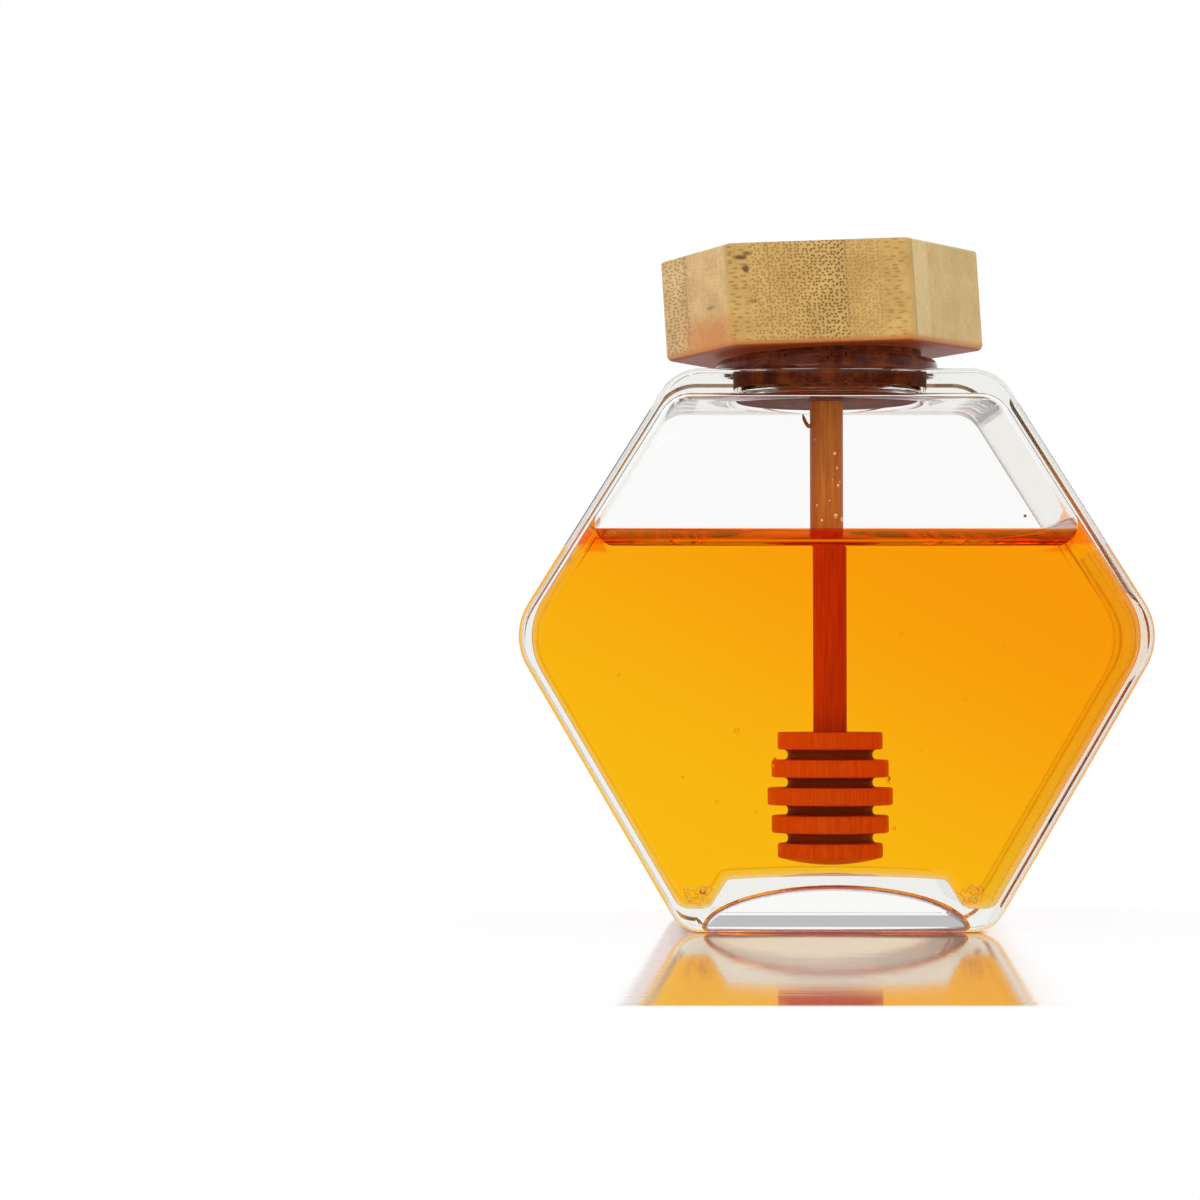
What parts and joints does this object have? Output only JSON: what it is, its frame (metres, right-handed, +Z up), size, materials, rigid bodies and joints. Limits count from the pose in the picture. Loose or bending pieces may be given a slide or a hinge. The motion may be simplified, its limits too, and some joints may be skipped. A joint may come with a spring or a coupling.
{
  "type": "hexagonal honey jar",
  "caption": "Flat hexagonal glass jar of honey with a bamboo lid on a cork, and a wooden dipper that hangs from the cork into the honey.",
  "frame": {"origin": "middle of the face that the jar stands on", "axes": "+Z up through the mouth, -Y out of the front hexagonal panel, +X to the right as seen from the front"},
  "size_m": [0.1286, 0.056, 0.1417],
  "materials": {
    "clear_glass": "clear, polished",
    "honey": "clear amber, glossy",
    "turned_wood": "oiled, satin",
    "cork": "matte",
    "bamboo": "satin"
  },
  "bodies": {
    "root": {"glass_jar": "clear_glass", "honey": "honey", "dipper": "turned_wood", "stopper": "cork", "lid": "bamboo"}
  },
  "joints": []
}
